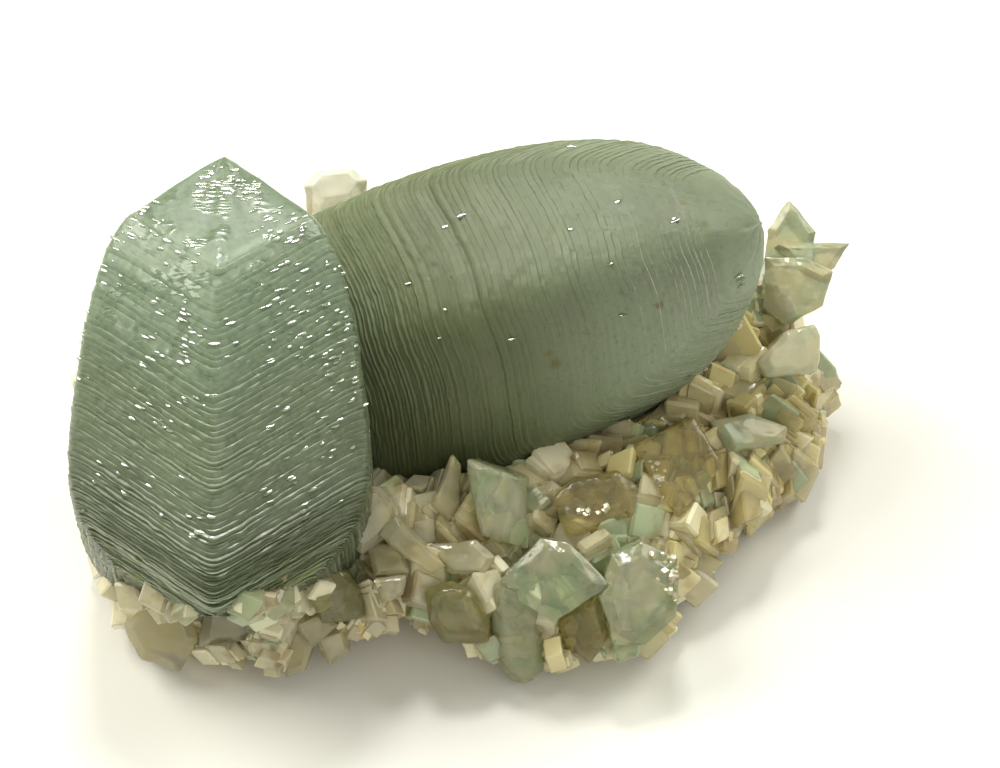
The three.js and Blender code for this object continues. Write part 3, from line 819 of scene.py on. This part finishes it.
def dressed_crystal(node, sizes):
    """A small crystal with worn edges and faces that aren't quite flat."""
    piece = merged_copy(node, node + "_crystal")
    add_modifier(piece, "BEVEL", width=sizes.crystal_bevel * WORN.get(node, 1),
                 segments=3 if node in WORN else 2, limit_method="ANGLE", angle_limit=math.radians(20))
    add_modifier(piece, "SUBSURF", subdivision_type="SIMPLE", levels=3, render_levels=3)
    add_modifier(piece, "DISPLACE", texture=cloud_texture(node, FACE_SWELLS), strength=FACE_RISE,
                 mid_level=0.2, texture_coords="LOCAL")
    points = points_of(piece)
    points[:, 2] = np.maximum(points[:, 2], 0)
    move_points(piece, points)
    make_active(piece)
    bpy.ops.object.shade_smooth_by_angle(angle=math.radians(32))
    return piece


class SPECIMEN_OT_small_crystals(bpy.types.Operator):
    """Builds the small crystals that can be told apart"""

    bl_idname = "specimen.small_crystals"
    bl_label = "Small crystals"

    def execute(self, context):
        sizes, colours = shown(context)
        slots = (
            (GREENISH, "green_calcite",
             rhomb_finish("cloudy_green", colours.blue_green, (0.82, 0.82, 0.60), colours, 0.8)),
            (HONEYED, "honey_calcite",
             rhomb_finish("clear_honey", (0.82, 0.74, 0.38), colours.honey, colours, 0.88)),
            (MILKY, "milky_calcite",
             rhomb_finish("milky_white", colours.milky, (0.86, 0.79, 0.48), colours, 0.75)),
        )
        # Some have a finish of their own.
        own = (
            (("back_crystal", "side_crystal"),
             rhomb_finish("pale_clear", (0.96, 0.95, 0.84), (0.98, 0.95, 0.82), colours, 0.5)),
            (("edge_rhomb",),
             rhomb_finish("pale_green", (0.62, 0.66, 0.46), (0.72, 0.68, 0.46), colours, 0.45)),
            (("blade_cluster", "right_slab"),
             rhomb_finish("green_honey", (0.42, 0.48, 0.31), (0.54, 0.50, 0.30), colours, 0.5)),
            (("front_rhomb", "grey_rhomb"),
             rhomb_finish("olive_clear", (0.42, 0.44, 0.20), (0.54, 0.47, 0.17), colours, 0.8)),
        )
        own_finish = {node: material for nodes, material in own for node in nodes}
        for nodes, slot, material in slots:
            for node in nodes:
                keep(dressed_crystal(node, sizes), own_finish.get(node, material), slot, node)
        return {"FINISHED"}


# The base: the grain of its mesh, and how broad and how deep its lumps are.
BASE_VOXEL = 0.38 * MM
BASE_LUMPS = 2.2 * MM
BASE_DEPTH = 0.9 * MM
# Its front is broken off hollow. Across, that fades out over this width from its middle. It starts this far
# forward and is full after this much more, it goes this deep and this high, and the druse stays clear of it.
HOLLOW_MIDDLE = -6 * MM
HOLLOW_WIDE = 13 * MM
HOLLOW_START = -4 * MM
HOLLOW_FADE = 5 * MM
HOLLOW_DEEP = 3.2 * MM
HOLLOW_HIGH = 3.6 * MM
HOLLOW_CLEAR = 2.6 * MM


def hollow(points):
    """How far a place belongs to the undercut front, from 0 to 1."""
    across = np.clip(1.4 - np.abs(points[:, 0] - HOLLOW_MIDDLE) / HOLLOW_WIDE, 0, 1)
    return across * np.clip((HOLLOW_START - points[:, 1]) / HOLLOW_FADE, 0, 1)


class SPECIMEN_OT_matrix(bpy.types.Operator):
    """Builds the crystalline base"""

    bl_idname = "specimen.matrix"
    bl_label = "Base"

    def execute(self, context):
        piece = merged_copy("matrix", "druse_base")
        add_modifier(piece, "REMESH", mode="VOXEL", voxel_size=BASE_VOXEL)
        add_modifier(piece, "DISPLACE", texture=cloud_texture("ground", BASE_LUMPS, 4), strength=BASE_DEPTH,
                     mid_level=0.5, texture_coords="LOCAL")
        # The front of the ground is broken off hollow, so it stands clear of the table there.
        points = points_of(piece)
        points[:, 2] = np.maximum(points[:, 2], 0)
        points[:, 1] += hollow(points) * HOLLOW_DEEP * np.clip(1 - points[:, 2] / HOLLOW_HIGH, 0, 1)
        move_points(piece, points)
        make_active(piece)
        bpy.ops.object.shade_smooth_by_angle(angle=math.radians(35))
        keep(piece, matrix_finish("druse_ground", context.scene.specimen_colours), "matrix", "matrix")
        return {"FINISHED"}


def master_rhomb():
    """One small calcite rhomb with worn edges, about 1 across and its axis upright, as points and faces."""
    piece = worn_shape(bpy.ops.mesh.primitive_cube_add, 0.08, size=1)
    upright = Vector((1, 1, 1)).rotation_difference(Vector((0, 0, 1))).to_matrix()
    piece.data.transform((Matrix.Diagonal((1, 1, 0.7)) @ upright).to_4x4())
    return take_out(piece)


def points_axis(points):
    """The direction, across the axis, in which one of the upright rhomb's upper faces falls."""
    upper = points[points[:, 2] > 0.1]
    far = upper[np.argmax(np.hypot(upper[:, 0], upper[:, 1]))]
    return -far[:2]


def inside(tree, point):
    """How deep a point lies inside a closed mesh, or less than 0 for how far outside."""
    gap = tree.find_nearest(point)[3]
    way = Vector((0.21, 0.13, 0.97)).normalized()
    crossings = 0
    place = point
    while place is not None:
        place = tree.ray_cast(place + way * (0.001 * MM), way)[0]
        crossings += place is not None
    return gap if crossings % 2 else -gap


# Where fine crusts glitter, as seen: right and up in millimetres, width, height and how many chips. Then the
# sizes of the chips in millimetres, and how far they turn from the lamp's glint.
CRUSTS = ((15.0, -5.0, 0.6, 2.0, 26), (14.6, -7.2, 0.9, 1.4, 24), (16.4, -8.3, 1.0, 1.2, 24),
          (16.2, -11.0, 0.8, 2.8, 40), (15.2, -9.3, 1.8, 1.0, 16), (22.0, -5.3, 1.6, 1.0, 20),
          (25.3, -4.0, 1.6, 1.0, 24), (26.5, -2.5, 0.9, 2.0, 8), (-12.8, -12.6, 1.2, 0.7, 12),
          (-6.3, -12.6, 0.6, 1.4, 9), (10.3, -6.9, 2.0, 0.6, 8),
          (19.4, 3.9, 1.2, 0.5, 6), (21.0, 7.0, 0.8, 0.8, 3))
CHIP_SIZES = (0.2, 0.5)
CHIP_SPREAD = 0.05
# The rhombs that hide the foot of the steep crystal, as seen, and how far out of the CAD box they may stand.
FOOT = {"rhombs": 60, "left": -27.5, "right": -10.5, "middle": -19.0, "lowest": -14.4}
FOOT_MARGIN = 0.4 * MM
# Ground bears druse where it faces up, or down by no more than this, and lies at least this high.
STEEPEST = -0.35
LOWEST = 0.6 * MM
# The share of the rhombs that are broad, their sizes in millimetres, and how far to the front they go. Then
# the least size of the others, and by how much they may be larger.
BROAD_SHARE = 0.35
BROAD_SIZES = (1.6, 3.2)
BROAD_FRONT = -15 * MM
SMALL_SIZE = 0.8
SMALL_RANGE = 1.3
# How far clumps lean by chance, how far the rhombs of one differ, and the share of its size that one is sunk.
CLUMP_LEAN = 0.45
RHOMB_TURN = 0.16
SUNK = 0.08
# The shares of the rhombs that are clear and that are green, and how see-through each kind is.
CLEAR_SHARE = 0.55
GREEN_SHARE = 0.15
CLEARNESS = {"clear": 0.6, "milky": 0.3}


def ground_places(random, count):
    """Places on the ground that bears druse, and the ways that it faces there."""
    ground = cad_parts["matrix"]
    ground.data.calc_loop_triangles()
    corners = points_of(ground)
    triangles = np.array([triangle.vertices for triangle in ground.data.loop_triangles])
    a, b, c = (corners[triangles[:, k]] for k in range(3))
    cross = np.cross(b - a, c - a)
    area = np.linalg.norm(cross, axis=1) / 2
    normals = cross / np.maximum(2 * area[:, None], 1e-12)
    chance = area * ((normals[:, 2] > STEEPEST) & (a[:, 2] > LOWEST))
    picks = random.choice(len(area), count, p=chance / chance.sum())
    u, v = random.random((2, count))
    flip = u + v > 1
    u, v = np.where(flip, 1 - u, u), np.where(flip, 1 - v, v)
    places = a[picks] + u[:, None] * (b - a)[picks] + v[:, None] * (c - a)[picks]
    return places, normals[picks]


def grow_druse(random, sizes, points, kinds):
    """Grows rhombs over the ground, clear of the crystals that can be told apart."""
    count = sizes.druse_count
    places, facings = ground_places(random, count)
    large = [tree_of("left_crystal"), tree_of("right_crystal")]
    small = [tree_of(node) for node in GREENISH + HONEYED + MILKY]
    # Rhombs grow side by side in clumps: all those of a clump stand nearly alike.
    clumps = random.choice(count, sizes.clump_count)
    clump_of = np.argmin(((places[:, None] - places[None, clumps]) ** 2).sum(axis=2), axis=1)
    stands = []
    for facing in facings[clumps]:
        lean = (Vector(facing) + CLUMP_LEAN * Vector(random.standard_normal(3))).normalized()
        stands.append(stood(random, lean))
    for k, (place, facing) in enumerate(zip(places, facings)):
        # The first ones are the broad rhombs that fill the ground between the named crystals.
        if k < BROAD_SHARE * count and place[1] > BROAD_FRONT:
            size = random.uniform(*BROAD_SIZES) * MM
        else:
            size = (SMALL_SIZE + SMALL_RANGE * random.random() ** 2) * MM
        own_turn = Matrix.Rotation(random.normal(0, RHOMB_TURN), 3, Vector(random.standard_normal(3)))
        turn = own_turn @ stands[clump_of[k]]
        share, tint = random.random(2)
        place = place - SUNK * size * facing
        where = Vector(place)
        if max(inside(tree, where) for tree in large) > -0.3 * size:
            continue
        if max(inside(tree, where) for tree in small) > -0.1 * size:
            continue
        stretch = np.array([1, random.uniform(0.6, 1.1), random.uniform(0.6, 1.7)])
        shape = points @ np.array(turn).T * (size * stretch) + place
        if shape[:, 2].min() < HOLLOW_CLEAR * hollow(place[None])[0]:
            continue
        shape[:, 2] = np.maximum(shape[:, 2], 0)
        # A few are green, and the others are more honey toward the right.
        honeyed = np.clip(0.3 + place[0] / (70 * MM) + 0.7 * (tint - 0.55), 0.12, 1)
        kind = "clear" if share < CLEAR_SHARE else "milky"
        kinds[kind].append((shape, 0 if tint < GREEN_SHARE else honeyed))


def add_crusts(random, points, trees, kinds):
    """Adds sugary crusts, which catch the light where a level facet faces the lamp."""
    # This turn of the rhomb lays one of its faces level.
    fall = points_axis(points)
    level_rhomb = Matrix.Rotation(-math.atan(FACES_FALL), 3, Vector((0, 1, 0))) @ Matrix.Rotation(
        -math.atan2(fall[1], fall[0]), 3, "Z")
    for right, up, wide, tall, chips in CRUSTS:
        for _ in range(chips):
            across, along = random.normal(0, 1, 2) * (wide / 2, tall / 2)
            start = seen_place(right + across, up + along, 60)
            hits = [tree.ray_cast(start, -seen_way(0, 0, 1)) for tree in trees]
            hits = [(hit[3], hit[0]) for hit in hits if hit[0] is not None]
            if hits:
                size = random.uniform(*CHIP_SIZES) * MM
                place = min(hits, key=lambda hit: hit[0])[1]
                level = Matrix.Rotation(random.uniform(0, math.tau), 3, "Z") @ level_rhomb
                turn = np.array(glint_turn(random, place, CHIP_SPREAD) @ level).T
                kinds["clear"].append((points @ turn * size + np.array(place) + (0, 0, 0.1 * size), 0.3))


def hide_foot(random, points, steep, kinds):
    """Adds the rhombs that hide the foot of the steep crystal."""
    for _ in range(FOOT["rhombs"]):
        right = random.uniform(FOOT["left"], FOOT["right"])
        up = FOOT["lowest"] + 0.16 * abs(right - FOOT["middle"]) + random.uniform(-0.6, 0.8)
        hit = seen_on(steep, right, up)
        if hit is not None:
            lean = (seen_way(0.1, 0.4, 0.9) + 0.4 * Vector(random.standard_normal(3))).normalized()
            turn = stood(random, lean)
            shape = points @ np.array(turn).T * (random.uniform(1.0, 2.4) * MM) + np.array(hit)
            kind = "clear" if random.random() < 0.6 else "milky"
            if (shape.min(axis=0) > np.array(CAD_BOX[0]) - FOOT_MARGIN).all():
                kinds[kind].append((shape, random.uniform(0, 0.3)))


class SPECIMEN_OT_druse(bpy.types.Operator):
    """Covers the base in small rhombs"""

    bl_idname = "specimen.druse"
    bl_label = "Small druse"

    def execute(self, context):
        sizes, colours = shown(context)
        random = np.random.default_rng(7)
        points, faces = master_rhomb()
        kinds = {"clear": [], "milky": []}
        grow_druse(random, sizes, points, kinds)
        dressed = ["steep_crystal", "lying_crystal", "druse_base"]
        dressed += [node + "_crystal" for node in GREENISH + HONEYED + MILKY]
        trees = [mesh_tree(bpy.data.objects[name].data) for name in dressed]
        add_crusts(random, points, trees, kinds)
        hide_foot(random, points, trees[0], kinds)
        for kind, crystals in kinds.items():
            shapes, tints = zip(*crystals)
            piece = many_copies(kind + "_druse", shapes, faces, "tint", tints)
            keep(piece, druse_finish(kind + "_druse", colours, CLEARNESS[kind]), "matrix")
        return {"FINISHED"}


class SPECIMEN_OT_stage(bpy.types.Operator):
    """Sets the floor, the lights and the camera"""

    bl_idname = "specimen.stage"
    bl_label = "Stage"

    def execute(self, context):
        scene = context.scene
        deselect_all()
        bpy.ops.mesh.primitive_plane_add(size=4)
        floor = context.object
        floor.name = "floor"
        paper = Finish("paper", Base_Color=(0.72, 0.71, 0.70, 1), Roughness=0.9)
        floor.data.materials.append(paper.material)

        world = bpy.data.worlds.new("room")
        scene.world = world
        world.use_nodes = True
        light_all_round = world.node_tree.nodes["Background"].inputs
        light_all_round["Color"].default_value = (1, 0.985, 0.85, 1)
        light_all_round["Strength"].default_value = 0.56

        def lamp(name, way, distance, size, power, colour):
            data = bpy.data.lights.new(name, "AREA")
            data.shape = "DISK"
            data.size = size
            data.energy = power
            data.color = colour
            light = new_object(name, data)
            way = way.normalized()
            light.location = CENTRE + way * distance
            light.rotation_euler = way.to_track_quat("Z", "Y").to_euler()

        lamp("left_softbox", Vector((-0.75, 0.33, 0.75)), 0.8, 0.6, 7.0, (1, 0.99, 0.86))
        lamp("right_softbox", Vector((0.6, 0.45, 0.7)), 0.8, 0.5, 2.7, (1, 0.99, 0.88))
        lamp("front_fill", Vector((0.35, -0.7, 0.62)), 1.0, 0.9, 2.2, (1, 0.99, 0.86))
        way = GLINT_LAMP - CENTRE
        lamp("glint_lamp", way, way.length, 0.19, 3.6, (1, 0.99, 0.93))

        camera = bpy.data.cameras.new("camera")
        eye = new_object("camera", camera)
        scene.camera = eye
        eye.location = EYE
        eye.rotation_euler = seen_way(0, 0, 1).to_track_quat("Z", "Y").to_euler()
        camera.sensor_width = 36
        camera.lens = 36 * EYE_AWAY / (PHOTO_WIDE / PIXELS_PER_MM)
        camera.shift_x = (PHOTO_WIDE / 2 - MIDDLE_ACROSS) / PHOTO_WIDE
        camera.shift_y = (MIDDLE_DOWN - PHOTO_HIGH / 2) / PHOTO_WIDE
        camera.clip_end = 10
        scene.view_settings.view_transform = "Standard"
        return {"FINISHED"}


class SPECIMEN_PT_panel(bpy.types.Panel):
    """Lists the sizes, the colours and the steps"""

    bl_idname = "SPECIMEN_PT_panel"
    bl_label = "Calcite specimen"
    bl_space_type = "VIEW_3D"
    bl_region_type = "UI"
    bl_category = "Specimen"

    def draw(self, context):
        for group in shown(context):
            for name in group.__annotations__:
                self.layout.prop(group, name)
        for operator in OPERATORS:
            self.layout.operator(operator.bl_idname)


OPERATORS = (SPECIMEN_OT_stage, SPECIMEN_OT_left_crystal, SPECIMEN_OT_right_crystal,
             SPECIMEN_OT_small_crystals, SPECIMEN_OT_matrix, SPECIMEN_OT_druse)
CLASSES = (SpecimenSizes, SpecimenColours, *OPERATORS, SPECIMEN_PT_panel)


def register():
    for each in CLASSES:
        bpy.utils.register_class(each)
    bpy.types.Scene.specimen_sizes = PointerProperty(type=SpecimenSizes)
    bpy.types.Scene.specimen_colours = PointerProperty(type=SpecimenColours)


def unregister():
    del bpy.types.Scene.specimen_sizes
    del bpy.types.Scene.specimen_colours
    for each in reversed(CLASSES):
        bpy.utils.unregister_class(each)


def main():
    register()
    bpy.ops.specimen.stage()
    bpy.ops.specimen.left_crystal()
    bpy.ops.specimen.right_crystal()
    bpy.ops.specimen.small_crystals()
    bpy.ops.specimen.matrix()
    bpy.ops.specimen.druse()


if __name__ == "__main__":
    main()
